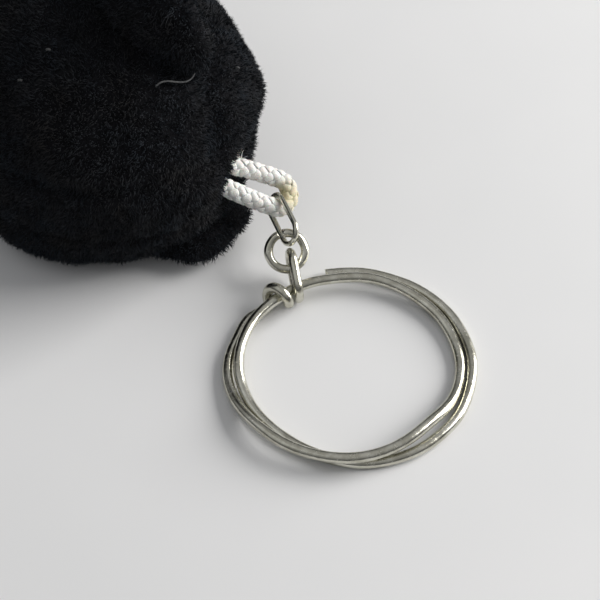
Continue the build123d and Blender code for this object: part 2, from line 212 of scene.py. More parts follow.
def tube(path, radius, sides=10, closed=False):
    """Points and faces of a tube; radius may be one number or one for each point of the path."""
    path = np.asarray(path, float)
    count = len(path)
    radius = np.broadcast_to(radius, (count,))
    ahead = np.roll(path, -1, axis=0) - np.roll(path, 1, axis=0)
    if not closed:
        ahead[0] = path[1] - path[0]
        ahead[-1] = path[-1] - path[-2]
    ahead = unit(ahead)
    side = unit(np.cross(ahead[0], [0.31, 0.52, 0.79]))
    rings = []
    for i in range(count):
        side = unit(side - ahead[i] * np.dot(side, ahead[i]))
        other = np.cross(ahead[i], side)
        turn = np.arange(sides) * 2 * np.pi / sides
        rings.append(path[i] + radius[i] * (np.outer(np.cos(turn), side) + np.outer(np.sin(turn), other)))
    faces = grid_faces(count, sides, closed)
    points = np.concatenate(rings)
    if not closed:
        faces = faces + [list(range(sides))[::-1], [(count - 1) * sides + j for j in range(sides)]]
    return points, faces


def grid_faces(rows, sides, closed=False):
    """Four sided faces between rings of points."""
    faces = []
    for i in range(rows if closed else rows - 1):
        low, high = i * sides, ((i + 1) % rows) * sides
        for j in range(sides):
            k = (j + 1) % sides
            faces.append([low + j, low + k, high + k, high + j])
    return faces


def joined(parts):
    """Several (points, faces) as one."""
    points, faces, start = [], [], 0
    for part_points, part_faces in parts:
        points.append(part_points)
        faces += [[start + i for i in face] for face in part_faces]
        start += len(part_points)
    return np.concatenate(points), faces


# ---- pile ---------------------------------------------------------------------------------------------
def pile_on(points, faces, seed, length, density, comb):
    """Bent tapered tufts that stand on a mesh of triangles, leaning together in small clumps."""
    random = np.random.default_rng(seed)
    a, b, c = points[faces[:, 0]], points[faces[:, 1]], points[faces[:, 2]]
    area = np.linalg.norm(np.cross(b - a, c - a), axis=1) / 2
    count = int(area.sum() * density)
    chosen = random.choice(len(faces), count, p=area / area.sum())
    share = random.uniform(size=(count, 2))
    over = share.sum(axis=1) > 1
    share[over] = 1 - share[over]
    first, second = share[:, :1], share[:, 1:]
    roots = a[chosen] * (1 - first - second) + b[chosen] * first + c[chosen] * second
    normals = vertex_normals(points, faces)
    at_a, at_b, at_c = (normals[faces[chosen, i]] for i in range(3))
    upright = unit(at_a * (1 - first - second) + at_b * first + at_c * second)
    clump = np.stack([lumps(roots, CLUMP_ACROSS, seed + i, 18) for i in (1, 2, 3)], axis=1)
    stray = random.normal(scale=STRAY_LEAN, size=(count, 3))
    lean = CLUMP_LEAN * clump + COMB_LEAN * np.asarray(comb) + stray
    lean -= upright * np.sum(lean * upright, axis=1, keepdims=True)
    patches = 1 + TALL_SHARE * lumps(roots, TALL_ACROSS, seed + 4, 18)[:, None]
    tall = length * random.uniform(0.55, 1.15, (count, 1)) * patches
    middle = roots + (upright + 0.35 * lean) * tall * 0.5
    tip = roots + unit(upright + 0.95 * lean) * tall
    flat = unit(np.cross(upright, random.normal(size=(count, 3)))) * PILE_WIDTH / 2
    blades = np.stack([roots - flat, roots + flat, middle + flat * 0.75, middle - flat * 0.75, tip], axis=1)
    blades[:, :, 2] = np.maximum(blades[:, :, 2], 0.02)
    start = np.arange(count) * TUFT_POINTS
    lower = np.stack([start, start + 1, start + 2], axis=1)
    upper = np.stack([start, start + 2, start + 3], axis=1)
    end = np.stack([start + 3, start + 2, start + 4], axis=1)
    return blades.reshape(-1, 3), np.concatenate([lower, upper, end])


def plush(name, points, faces, body, seed, node=None, length=PILE, density=PILE_DENSITY, comb=COMB):
    """Cloth with its pile, standing for a CAD node."""
    cloth = mesh_object(name + "_cloth", points, faces, CLOTH, body)
    blades, blade_faces = pile_on(points, faces, seed, length, density, comb)
    pile = mesh_object(name + "_pile", blades, blade_faces, PILE_HAIR, body, smooth=False)
    if node:
        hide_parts(node)
    return cloth, pile


# ---- materials ----------------------------------------------------------------------------------------
def material(name):
    """New material, with its nodes and its Principled shader."""
    made = bpy.data.materials.new(name)
    made.use_nodes = True
    return made, made.node_tree, made.node_tree.nodes["Principled BSDF"]


def add(tree, kind, **settings):
    """New shader node with its settings."""
    node = tree.nodes.new(kind)
    for key, value in settings.items():
        setattr(node, key, value)
    return node


def place_of(tree):
    """The shaded point's place on its piece."""
    return add(tree, "ShaderNodeTexCoord").outputs["Object"]


def noise(tree, size, detail=3.0, roughness=0.6):
    """Noise about `size` millimetres across."""
    node = add(tree, "ShaderNodeTexNoise")
    node.inputs["Scale"].default_value = 1 / (size * MM)
    node.inputs["Detail"].default_value = detail
    node.inputs["Roughness"].default_value = roughness
    tree.links.new(place_of(tree), node.inputs["Vector"])
    return node.outputs["Fac"]


def ramp(tree, value, *stops):
    """Colours at shares of the value: (share, (r, g, b))."""
    node = add(tree, "ShaderNodeValToRGB")
    elements = node.color_ramp.elements
    while len(elements) < len(stops):
        elements.new(0.5)
    for element, (share, colour) in zip(elements, stops):
        element.position = share
        element.color = (*colour, 1)
    tree.links.new(value, node.inputs["Fac"])
    return node.outputs["Color"]


def grey(value):
    return (value, value, value)


def bumpy(tree, shader, value, height_mm, strength=1.0):
    """Fine relief on a material."""
    node = add(tree, "ShaderNodeBump")
    node.inputs["Distance"].default_value = height_mm * MM
    node.inputs["Strength"].default_value = strength
    tree.links.new(value, node.inputs["Height"])
    tree.links.new(node.outputs["Normal"], shader.inputs["Normal"])


def cloth_material():
    """Black ground cloth that shows between the tufts."""
    made, tree, shader = material("pile_ground")
    colour = ramp(tree, noise(tree, 1.3), (0.3, (0.0035, 0.0036, 0.0045)), (0.75, (0.010, 0.0105, 0.013)))
    tree.links.new(colour, shader.inputs["Base Color"])
    shader.inputs["Roughness"].default_value = 0.95
    shader.inputs["Specular IOR Level"].default_value = 0.15
    bumpy(tree, shader, noise(tree, 0.5, 2), 0.25)
    return made


def pile_material():
    """Matt black pile with faint bluish and brownish patches and paler tips here and there."""
    made, tree, shader = material("pile_hair")
    patches = ramp(tree, noise(tree, 7, 2), (0.35, (0.58, 0.56, 0.56)), (0.6, (0.46, 0.56, 0.70)))
    tips = ramp(tree, noise(tree, 1.3, 4, 0.7), (0.3, grey(0.024)), (0.6, grey(0.044)), (0.8, grey(0.066)))
    mix = add(tree, "ShaderNodeMix", data_type="RGBA", blend_type="MULTIPLY")
    mix.inputs["Factor"].default_value = 1
    tree.links.new(tips, mix.inputs[6])
    tree.links.new(patches, mix.inputs[7])
    tree.links.new(mix.outputs[2], shader.inputs["Base Color"])
    shader.inputs["Roughness"].default_value = 0.85
    shader.inputs["Specular IOR Level"].default_value = 0.12
    shader.inputs["Sheen Weight"].default_value = 0.07
    shader.inputs["Sheen Roughness"].default_value = 0.5
    shader.inputs["Sheen Tint"].default_value = (0.55, 0.65, 0.8, 1)
    return made


def nickel_material(name, coarser):
    """Worn nickel, with cloudy tarnish; `coarser` makes the clouds differ from piece to piece."""
    made, tree, shader = material(name)
    shader.inputs["Metallic"].default_value = 1
    clouds = noise(tree, 2.2 + coarser, 3)
    colour = ramp(tree, clouds, (0.35, (0.50, 0.485, 0.405)), (0.7, (0.76, 0.75, 0.665)))
    tree.links.new(colour, shader.inputs["Base Color"])
    rough = ramp(tree, noise(tree, 0.9 + coarser, 5, 0.7), (0.35, grey(0.14)), (0.75, grey(0.34)))
    tree.links.new(rough, shader.inputs["Roughness"])
    bumpy(tree, shader, noise(tree, 0.35, 6, 0.7), 0.02, 0.5)
    return made


def cord_material():
    """White yarn of fine filaments, with yellowed glue where the jump ring hangs."""
    glue_edge, glue_middle = 2.9, 1.2
    made, tree, shader = material("cord_yarn")
    grain = ramp(tree, noise(tree, 0.5, 4, 0.7), (0.3, (0.66, 0.65, 0.62)), (0.7, (0.86, 0.855, 0.83)))
    from_hang = add(tree, "ShaderNodeVectorMath", operation="DISTANCE")
    tree.links.new(place_of(tree), from_hang.inputs[0])
    glue = CORD_ROOT + CORD_ALONG * (BIGHT_AT + 0.8 * BIGHT_RADIUS) - CORD_ACROSS * 0.2
    from_hang.inputs[1].default_value = glue * MM
    patch = add(tree, "ShaderNodeMapRange")
    patch.inputs["From Min"].default_value = glue_edge * MM
    patch.inputs["From Max"].default_value = glue_middle * MM
    tree.links.new(from_hang.outputs["Value"], patch.inputs["Value"])
    mix = add(tree, "ShaderNodeMix", data_type="RGBA")
    tree.links.new(patch.outputs["Result"], mix.inputs["Factor"])
    tree.links.new(grain, mix.inputs[6])
    mix.inputs[7].default_value = (0.62, 0.55, 0.36, 1)
    tree.links.new(mix.outputs[2], shader.inputs["Base Color"])
    shader.inputs["Roughness"].default_value = 0.62
    shader.inputs["Sheen Weight"].default_value = 0.25
    shader.inputs["Subsurface Weight"].default_value = 0.12
    shader.inputs["Subsurface Scale"].default_value = 0.6 * MM
    bumpy(tree, shader, noise(tree, 0.16, 3, 0.6), 0.06)
    return made


def speckled(name, low, high, size, roughness, height=0.1):
    """Matt material whose colour wanders between two."""
    made, tree, shader = material(name)
    tree.links.new(ramp(tree, noise(tree, size, 4), (0.3, low), (0.7, high)), shader.inputs["Base Color"])
    shader.inputs["Roughness"].default_value = roughness
    bumpy(tree, shader, noise(tree, size / 3, 3), height)
    return made


def bead_material():
    """Polished black plastic with faint wear."""
    made, tree, shader = material("polished_bead")
    colour = ramp(tree, noise(tree, 3, 3), (0.3, (0.006, 0.006, 0.008)), (0.8, (0.014, 0.013, 0.014)))
    tree.links.new(colour, shader.inputs["Base Color"])
    rough = ramp(tree, noise(tree, 0.8, 5), (0.4, grey(0.07)), (0.8, grey(0.2)))
    tree.links.new(rough, shader.inputs["Roughness"])
    return made


def tape_material():
    """Plain woven tape."""
    made, tree, shader = material("label_tape")
    colour = ramp(tree, noise(tree, 0.8, 4), (0.3, (0.66, 0.65, 0.62)), (0.7, (0.78, 0.77, 0.74)))
    tree.links.new(colour, shader.inputs["Base Color"])
    shader.inputs["Roughness"].default_value = 0.7
    weave = add(tree, "ShaderNodeTexWave", bands_direction="DIAGONAL")
    weave.inputs["Scale"].default_value = 1 / (0.9 * MM)
    tree.links.new(place_of(tree), weave.inputs["Vector"])
    bumpy(tree, shader, weave.outputs["Fac"], 0.05)
    return made


CLOTH = cloth_material()
PILE_HAIR = pile_material()
CORD = cord_material()
THREAD = speckled("black_thread", (0.012, 0.012, 0.014), (0.03, 0.03, 0.034), 0.4, 0.6)
FILLING = speckled("fibre_filling", (0.7, 0.7, 0.68), (0.9, 0.9, 0.88), 1.5, 0.9, 0.4)
WASHER = speckled("moulded_washer", (0.72, 0.72, 0.7), (0.8, 0.8, 0.78), 2.0, 0.45, 0.03)
LINT = speckled("lint", (0.03, 0.033, 0.036), (0.12, 0.12, 0.12), 0.9, 0.8)
BEAD = bead_material()
TAPE = tape_material()


# ---- head ---------------------------------------------------------------------------------------------
# Sides on which the filling has settled flat: direction, and how far it is pressed in.
FACETS = (
    ((0.47, 0.82, 0.32), 1.5),
    ((0.90, 0.40, -0.16), 0.9),
)
FACET_EDGE = 0.55                # how rounded their edges are
HEAD_WAVES = ((0.35, 19, 3), (0.16, 8, 4))    # height, size and seed of its lumps
HEAD_DRAWN_IN = 0.25             # the cloth lies this far inside the pattern's form
UPPER_SEAM_SHARE = 0.8           # depth of the upper seam beside the lower one
PANEL_CORNER = (17.0, 10.7, 19.0)    # the cloth is pushed out where the two flat sides meet
CORNER_RISE, CORNER_WIDE = 1.0, 3.5
FOLD_WAY = (0.79, 0.60, 0.13)    # a fold in the cloth beside the upper ear faces this way
FOLD_AT = 17.8                   # its distance from the row's origin
FOLD_DEPTH, FOLD_WIDE = 1.0, 1.2
FOLD_HEIGHTS = (14, 18)          # it begins and is at its full depth at these heights
LIP_BEYOND = 2.6                 # the fold's raised lip lies this far beyond it
LIP_RISE, LIP_WIDE = 0.35, 1.6
TUCK_AT = CORD_ROOT + CORD_ALONG * 4.4 + [0, 3.5, 1.5]    # the cloth is drawn in here by the cord
TUCK_DEPTH, TUCK_WIDE, TUCK_HIGH = 4.0, 6.0, 3.4
SETTLED_RISE = 1.0               # the filling settles towards the table on the head's back side
SETTLED_BACK = (9, 17)           # from the row's middle plane to where it bulges most
SETTLED_HEIGHTS = (2, 12)        # full below the first height and gone above the second
SETTLED_X, SETTLED_WIDE = 3.0, 14
EAR_PUCKER, EAR_PUCKER_WIDE = 0.8, 3.2    # where the upper ear is sewn on
EAR_PUCKER_HEIGHTS = (11, 15)    # above the row's middle
EYE_PAD, EYE_PAD_WIDE = 0.7, 5.0     # filling that is pulled up round an eye


def fold_swell(points):
    """The fold beside the upper ear, with its lip."""
    away = points @ unit(FOLD_WAY) - FOLD_AT
    profile = LIP_RISE * bump(away - LIP_BEYOND, LIP_WIDE) - FOLD_DEPTH * bump(away, FOLD_WIDE)
    return profile * rises(points[:, 2], *FOLD_HEIGHTS)


def tuck_swell(points):
    """The hollow in which the cord leaves the seam."""
    tuck = points - TUCK_AT
    hollow = bump(tuck[:, 1], TUCK_WIDE) * bump(tuck[:, 2], TUCK_HIGH)
    return -TUCK_DEPTH * hollow * (points[:, 0] > 0)


def settled_swell(points):
    """The bulge where the filling settles towards the table."""
    low = 1 - rises(points[:, 2], *SETTLED_HEIGHTS)
    back = rises(-points[:, 1], *SETTLED_BACK)
    return SETTLED_RISE * back * low * bump(points[:, 0] - SETTLED_X, SETTLED_WIDE)


def head_form(ways, inset=0.0):
    """Stuffed head: pulled in along its two seams and where the cord leaves, flat on the table."""
    size = HEAD_SIZE - inset
    points = HEAD_CENTRE + ways * size
    out = unit(ways / size)
    height = points[:, 2]
    swell = wavy(points, HEAD_WAVES) - HEAD_DRAWN_IN
    swell -= SEAM_DEPTH * bump(height - GUSSET_LOW[2], SEAM_WIDTH)
    swell -= SEAM_DEPTH * UPPER_SEAM_SHARE * bump(height - GUSSET_HIGH[2], SEAM_WIDTH)
    swell += tuck_swell(points) + fold_swell(points) + settled_swell(points)
    swell += CORNER_RISE * bump(np.linalg.norm(points - PANEL_CORNER, axis=1), CORNER_WIDE)
    for side in ("left", "right"):
        eye = sum(corners("eye_" + side)) / 2
        swell += EYE_PAD * bump(np.linalg.norm(points - eye, axis=1), EYE_PAD_WIDE)
    ear_root = np.abs(points[:, 1]) + 0.25 * np.abs(points[:, 0] - HEAD_SIZE[0] * 0.45)
    on_top = rises(height - MID, *EAR_PUCKER_HEIGHTS)
    swell -= EAR_PUCKER * bump(ear_root, EAR_PUCKER_WIDE) * on_top
    points = points + out * swell[:, None]
    for way, pressed in FACETS:
        points = pressed_flat(points, unit(way), pressed)
    return rest_on_table(points)


def pressed_flat(points, way, pressed):
    """Presses the head in by a distance from one side, with a rounded edge."""
    reach = np.linalg.norm(way * HEAD_SIZE) - pressed
    over = (points - HEAD_CENTRE) @ way - reach
    cut = (over + np.sqrt(over * over + FACET_EDGE**2)) / 2
    return points - np.outer(cut, way)


def make_head():
    """The head's three panels, cut from one form at the seams."""
    ways, faces = net_of(FINE)
    points = head_form(ways)
    middle = points[faces].mean(axis=1)[:, 2]
    panels = {
        "head_left_panel": middle > GUSSET_HIGH[2],
        "head_gusset": (middle <= GUSSET_HIGH[2]) & (middle > GUSSET_LOW[2]),
        "head_right_panel": middle <= GUSSET_LOW[2],
    }
    for seed, (node, keep) in enumerate(panels.items()):
        part, part_faces = only(points, faces, keep)
        plush(node, part, part_faces, "head", 100 + 10 * seed, node)


EAR_THICK, LOWER_EAR_THICK = 2.7, 2.2
EAR_BLUNT = 0.8          # below 1, its edge is blunter than a ball's
EAR_DISH, EAR_RIM_AHEAD = 1.3, 0.5    # the hollow in its front, and how far the rim stands ahead
EAR_RIM = 0.03           # waves of the rim, as a share of the radius
EAR_WAVES = ((0.22, 5, 8),)
EAR_DENSITY = 0.9        # share of the head's tufts
LOWER_EAR_AT = (13.6, -1.2)      # middle of the ear that is folded flat on the table
LOWER_EAR_LIFT = 0.3     # room for the pile below it


def ear_form(ways, centre, thin, up, radius, thickness):
    """Padded ear: two crowned round cloths, dished to one side, with a seam round the rim."""
    wide = np.cross(up, thin)
    u, v, w = ways[:, 0], ways[:, 1], ways[:, 2]
    spread = np.sqrt(u * u + v * v)
    puff = np.sign(w) * np.abs(w) ** EAR_BLUNT * thickness
    dish = -EAR_DISH * (1 - spread**2) + EAR_RIM_AHEAD
    rim = radius * (1 + EAR_RIM * np.sin(5 * np.arctan2(v, u)))
    points = centre + np.outer(u * rim, wide) + np.outer(v * rim, up) + np.outer(puff + dish, thin)
    return points + unit(points - centre) * wavy(points, EAR_WAVES)[:, None]


def make_ears():
    """The upper ear stands up from its seam, and the lower one lies flat."""
    ways, faces = net_of(FINE - 1)
    density = PILE_DENSITY * EAR_DENSITY
    low, high = corners("ear_left")
    radius = (high[0] - low[0]) / 2
    centre = np.array([(low[0] + high[0]) / 2, 0, high[2] - radius])
    up = unit(centre - HEAD_CENTRE)
    points = ear_form(ways, centre, np.array([0, 1.0, 0]), up, radius, EAR_THICK)
    plush("ear_left", points, faces, "head", 200, "ear_left", density=density, comb=(-0.4, 0, 0.4))
    low, high = corners("ear_right")
    centre = np.array([*LOWER_EAR_AT, (low[2] + high[2]) / 2 + LOWER_EAR_LIFT])
    up = unit([0.8, -0.6, 0])
    points = ear_form(ways, centre, np.array([0, 0, -1.0]), up, radius, LOWER_EAR_THICK)
    points = rest_on_table(points)
    plush("ear_right", points, faces, "head", 210, "ear_right", density=density, comb=(0.6, -0.5, -0.2))


def make_face():
    """Plain muzzle with a pinched middle line, beads, and what lies behind them inside the head."""
    muzzle_root = 3.6    # length of the muzzle's form that lies inside the head
    muzzle_back = 0.2    # room for its pile
    middle_depth, middle_wide = 0.35, 0.9
    waves = ((0.18, 6, 5),)
    ways, faces = net_of(FINE - 1)
    low, high = corners("muzzle")
    forward = high[1] - HEAD_SIZE[1] + muzzle_root
    size = np.array([(high[0] - low[0]) / 2, forward, (high[2] - low[2]) / 2])
    centre = np.array([(low[0] + high[0]) / 2, high[1] - size[1] - muzzle_back, MID])
    points = centre + ways * size
    swell = wavy(points, waves) - middle_depth * bump(points[:, 2] - MID, middle_wide)
    points += unit(ways / size) * swell[:, None]
    plush("muzzle", points, faces, "head", 220, "muzzle", length=PILE * 0.6, comb=(-0.7, 0.4, 0))
    for node, look in (("nose", BEAD), ("eye_left", BEAD), ("eye_right", BEAD), ("mouth_thread", THREAD)):
        smooth_copy(node, "head", look)
    for side in ("left", "right"):
        dress("eye_washer_" + side, WASHER)
    stuffing("head_stuffing", head_form(net_of(COARSE)[0], FILLING_INSIDE), "head")
    smooth_copy("cord_knot", "head", CORD)


def stuffing(node, points, body):
    """Wad of fibre inside a skin, a little smaller and rougher than the form it is given."""
    share = 0.965
    waves = ((0.02, 3.5, 9),)
    faces = net_of(COARSE)[1]
    centre = points.mean(axis=0)
    points = centre + (points - centre) * (share + wavy(points, waves))[:, None]
    piece = mesh_object(node + "_wad", points, faces, FILLING, body)
    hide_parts(node)


def dress(node, look):
    """Gives a CAD node that stays a better material."""
    for slot in frame["nodes"][node].material_slots:
        slot.link = "OBJECT"
        slot.material = look


WELD = 0.002             # points nearer than this become one


def smooth_copy(node, body, look, shape=None):
    """Copy of a CAD node with welded, smooth shaded faces, and moved a little by `shape`."""
    source = frame["nodes"][node].data
    net = bmesh.new()
    net.from_mesh(source)
    bmesh.ops.remove_doubles(net, verts=net.verts, dist=WELD * MM)
    mesh = bpy.data.meshes.new(node + "_finished")
    net.to_mesh(mesh)
    net.free()
    if shape:
        points = np.array([v.co[:] for v in mesh.vertices]) / MM
        mesh.vertices.foreach_set("co", (shape(points) * MM).ravel())
    mesh.materials.clear()
    mesh.materials.append(look)
    mesh.polygons.foreach_set("use_smooth", [True] * len(mesh.polygons))
    piece = bpy.data.objects.new(node + "_finished", mesh)
    bpy.context.scene.collection.objects.link(piece)
    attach(piece, body)
    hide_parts(node)
    return piece


# ---- torso and limbs ----------------------------------------------------------------------------------
TORSO_WAVES = ((0.35, 15, 13), (0.15, 6, 14))    # height, size and seed of its lumps
TORSO_DRAWN_IN = 0.2             # the cloth lies this far inside the pattern's form


def torso_form(ways, inset=0.0):
    """Stuffed torso with a seam round its sides."""
    size = TORSO_SIZE - inset
    points = TORSO_CENTRE + ways * size
    swell = wavy(points, TORSO_WAVES) - TORSO_DRAWN_IN
    swell -= SEAM_DEPTH * bump(points[:, 1], SEAM_WIDTH)
    points = points + unit(ways / size) * swell[:, None]
    return rest_on_table(points)


def make_torso():
    """The torso's two panels, cut from one form at the seam."""
    ways, faces = net_of(FINE)
    points = torso_form(ways)
    middle = points[faces].mean(axis=1)[:, 1]
    panels = {"torso_front_panel": middle > 0, "torso_back_panel": middle <= 0}
    for seed, (node, keep) in enumerate(panels.items()):
        part, part_faces = only(points, faces, keep)
        plush(node, part, part_faces, "torso", 300 + 10 * seed, node)
    stuffing("torso_stuffing", torso_form(net_of(COARSE)[0], FILLING_INSIDE), "torso")


def make_tail():
    """Stuffed ball on the lower back."""
    share = 0.96         # size of its cloth beside the CAD ball
    waves = ((0.3, 4, 21),)
    ways, faces = net_of(FINE - 1)
    low, high = corners("tail")
    ball = (low + high) / 2 + ways * (high - low).mean() / 2 * share
    ball += ways * wavy(ball, waves)[:, None]
    plush("tail", ball, faces, "torso", 330, "tail", comb=(-0.5, -0.4, -0.2))


def skin(piece):
    """Bakes a piece's placing into its mesh and leaves it on no body."""
    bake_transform(piece)


def girth_at(x, centre, size):
    """Radius of a stuffed body where a plane across X cuts it."""
    return size[1] * math.sqrt(max(0, 1 - ((x - centre[0]) / size[0]) ** 2))


NECK_BEFORE, NECK_AFTER = 7.5, 8.5   # how far its cloth runs to both sides of the hinge
NECK_RADIUS = 8.6
NECK_INSIDE = 0.7        # its ends lie this far inside the head and the torso
NECK_FLARE = 0.02        # how quickly its waist widens
NECK_CREASE, NECK_CREASE_WIDE = 0.6, 0.7     # the crease at the hinge
NECK_WAVES = ((0.2, 4, 31),)


def make_neck():
    """Short waist of cloth that joins the head to the torso."""
    rows, sides = 30, 96
    turn = np.arange(sides) * 2 * np.pi / sides
    spokes = np.stack([np.zeros(sides), np.cos(turn), np.sin(turn)], axis=1)
    rings = []
    for x in np.linspace(NECK[0] - NECK_BEFORE, NECK[0] + NECK_AFTER, rows + 1):
        from_hinge = x - NECK[0]
        torso_girth = girth_at(x, TORSO_CENTRE, TORSO_SIZE)
        girth = max(torso_girth, girth_at(x, HEAD_CENTRE, HEAD_SIZE)) - NECK_INSIDE
        waist = NECK_RADIUS + NECK_FLARE * from_hinge**2
        radius = max(girth, waist) - NECK_CREASE * bump(from_hinge, NECK_CREASE_WIDE)
        ring = np.array([x, 0, MID]) + spokes * radius
        rings.append(ring + spokes * wavy(ring, NECK_WAVES)[:, None])
    points = rest_on_table(np.concatenate(rings))
    quads = np.array(grid_faces(rows + 1, sides))
    faces = np.concatenate([quads[:, [0, 2, 1]], quads[:, [0, 3, 2]]])
    cloth, pile = plush("neck", points, faces, None, 340)
    for piece in (cloth, pile):
        skin(piece)


LIMB_THIN = 0.8          # radius of a limb's root beside its free end
LIMB_LUMP, LIMB_LUMP_ACROSS = 0.25, 7
LIMB_DRAWN_IN = 0.15     # the cloth lies this far inside the pattern's form
LIMB_PUCKER, LIMB_PUCKER_WIDE = 0.45, 0.7    # the pucker at its root
LIMB_CLEAR = 0.15        # the limbs' distance above the table
LIMB_FILLING_INSIDE = 1.5
SOLE_CUT = 1.2           # how much of a leg's round end is flattened for its sole
SOLE_FLATTENED = 0.85    # and how flat it gets
SOLE_SHARE = 0.92        # radius of the sole's cloth beside the CAD disc
SOLE_INSIDE, SOLE_THICK = 0.45, 0.7
SOLE_WAVES = ((0.1, 3, 41),)


def limb_form(node, ways, inset=0.0):
    """Stuffed limb, thicker towards its free end, with a puckered root."""
    pivot, _ = hinge({"arm": "shoulder", "leg": "hip"}[node[:3]] + node[3:])
    low, high = corners(node)
    thick = (high[2] - low[2]) / 2
    thin = thick * LIMB_THIN
    if node.startswith("arm"):
        toe = np.array([low[0] + thick, high[1], pivot[2]])
    else:
        sole_low, sole_high = corners("foot_pad" + node[3:])
        toe = np.array([(sole_low[0] + sole_high[0]) / 2, sole_high[1], pivot[2]])
    along = unit((toe - pivot) * [1, 1, 0])
    reach = (toe[1] - pivot[1]) / along[1] - thick
    t = ways[:, 1]
    side = np.cross(along, [0, 0, 1.0])
    across = np.outer(ways[:, 0], side) + np.outer(ways[:, 2], [0, 0, 1.0])
    place = rises(t, -0.9, 0.9)
    radius = thin + (thick - thin) * place - inset
    points = pivot + np.outer(place * reach, along) + across * radius[:, None]
    points = points + np.outer(t * radius, along)
    swell = LIMB_LUMP * lumps(points, LIMB_LUMP_ACROSS, len(node)) - LIMB_DRAWN_IN
    pucker = bump(np.dot(points - pivot, side), LIMB_PUCKER_WIDE)
    swell -= LIMB_PUCKER * pucker * rises(t, -0.8, -0.4)
    points = points + across * swell[:, None]
    points[:, 2] = np.maximum(points[:, 2], LIMB_CLEAR)
    return points, along


def make_limbs():
    """Arms, legs with their ends flattened for the soles, and what fills them."""
    ways, faces = net_of(FINE - 1)
    for seed, node in enumerate(("arm_left", "arm_right", "leg_left", "leg_right")):
        points, along = limb_form(node, ways)
        if node.startswith("leg"):
            reach = np.dot(points, along)
            top = np.max(reach) - SOLE_CUT
            points -= np.outer(np.maximum(reach - top, 0) * SOLE_FLATTENED, along)
        plush(node, points, faces, node, 400 + 10 * seed, node, comb=(0, 0.6, 0))
        filling, _ = limb_form(node, net_of(COARSE)[0], LIMB_FILLING_INSIDE)
        stuffing(node + "_stuffing", filling, node)
    for side in ("left", "right"):
        make_foot_pad(side)


def make_foot_pad(side):
    """Crowned round sole with its own short pile."""
    low, high = corners("foot_pad_" + side)
    centre = (low + high) / 2
    ways, faces = net_of(FINE - 2)
    radius = SOLE_SHARE * (high[2] - low[2]) / 2
    points = centre - [0, SOLE_INSIDE, 0] + ways * [radius, SOLE_THICK, radius]
    points += unit(ways) * wavy(points, SOLE_WAVES)[:, None]
    node = "foot_pad_" + side
    plush(node, points, faces, "leg_" + side, 450, node, length=PILE * 0.5)


def make_label():
    """Blank tab of tape that curls a little."""
    rows, columns = 10, 12
    sunk = 0.8           # how far its root runs into the seam
    curl, ripple, thickness = 0.9, 0.15, 0.3
    low, high = corners("side_label")
    along, up = np.meshgrid(np.linspace(0, 1, columns + 1), np.linspace(0, 1, rows + 1))
    x = low[0] + (high[0] - low[0]) * along
    y = curl * up**2 + ripple * np.sin(along * columns * 0.9)
    z = low[2] - sunk + (high[2] - low[2]) * up
    points = np.stack([x, y, z], axis=-1).reshape(-1, 3)
    stride = columns + 1
    faces = []
    for i in range(rows):
        for j in range(columns):
            corner = i * stride + j
            faces.append([corner, corner + 1, corner + stride + 1, corner + stride])
    piece = mesh_object("side_label_tape", points, faces, TAPE, "torso")
    thick = piece.modifiers.new("thickness", "SOLIDIFY")
    thick.thickness = thickness * MM
    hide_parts("side_label")


# ---- cord ---------------------------------------------------------------------------------------------
CORD_INSIDE = 3.6        # length of each strand inside the head
YARN_IN = 0.34           # a yarn's middle lies this far inside the cord's surface
YARN_OVER = 0.15         # how far it passes over and under the others
YARN_HALF_WIDTH, YARN_HALF_THICKNESS = 0.56, 0.2
YARN_PLUMP = 0.22        # how much thicker a yarn is where it lies on top
YARN_WOBBLE = 0.12       # how unevenly it winds, in radians
YARN_SIDES = 10
CORE_SHARE = 0.7         # radius of the cord's core beside the cord
FRAY_AT, FRAY_OUT = 2.9, 0.9     # place of the frayed tuft along the upper strand, and above it
FRAY_COUNT, FRAY_LENGTH = 46, 1.5
FRAY_ACROSS, FRAY_SPREAD = 0.22, 0.35        # spread of its fibres' roots, and of the ways they stand
FRAY_WAY = (-0.25, 0.15, 0.75)
FUZZ_COUNT, FUZZ_LENGTH, FUZZ_WIDTH = 70, 0.6, 0.02
BEND_BEFORE, BEND_AFTER = 1.0, 1.6           # distances before and after the cord_lift hinge; the loop piece starts at the first


def strand_offset(along):
    """Half the spacing of the strands, which opens towards the bight."""
    share = np.clip(along / BIGHT_AT, 0, 1)
    return STRAND_APART + (BIGHT_RADIUS - STRAND_APART) * np.sin(np.pi / 2 * share)


def cord_path(inside, step=0.12):
    """Middle of the cord: out along one strand, round the bight and back, evenly spaced."""
    out = np.arange(-inside, BIGHT_AT, 0.1)
    turn = np.linspace(0, np.pi, 60)
    legs = [
        np.stack([out, -strand_offset(out)], axis=1),
        np.stack([BIGHT_AT + BIGHT_RADIUS * np.sin(turn), -BIGHT_RADIUS * np.cos(turn)], axis=1),
        np.stack([out[::-1], strand_offset(out[::-1])], axis=1),
    ]
    flat = np.concatenate(legs)
    lengths = np.concatenate([[0], np.cumsum(np.linalg.norm(np.diff(flat, axis=0), axis=1))])
    even = np.arange(0, lengths[-1], step)
    flat = np.stack([np.interp(even, lengths, flat[:, 0]), np.interp(even, lengths, flat[:, 1])], axis=1)
    path = CORD_ROOT + np.outer(flat[:, 0], CORD_ALONG) + np.outer(flat[:, 1], CORD_ACROSS)
    return path, even, flat[:, 0]


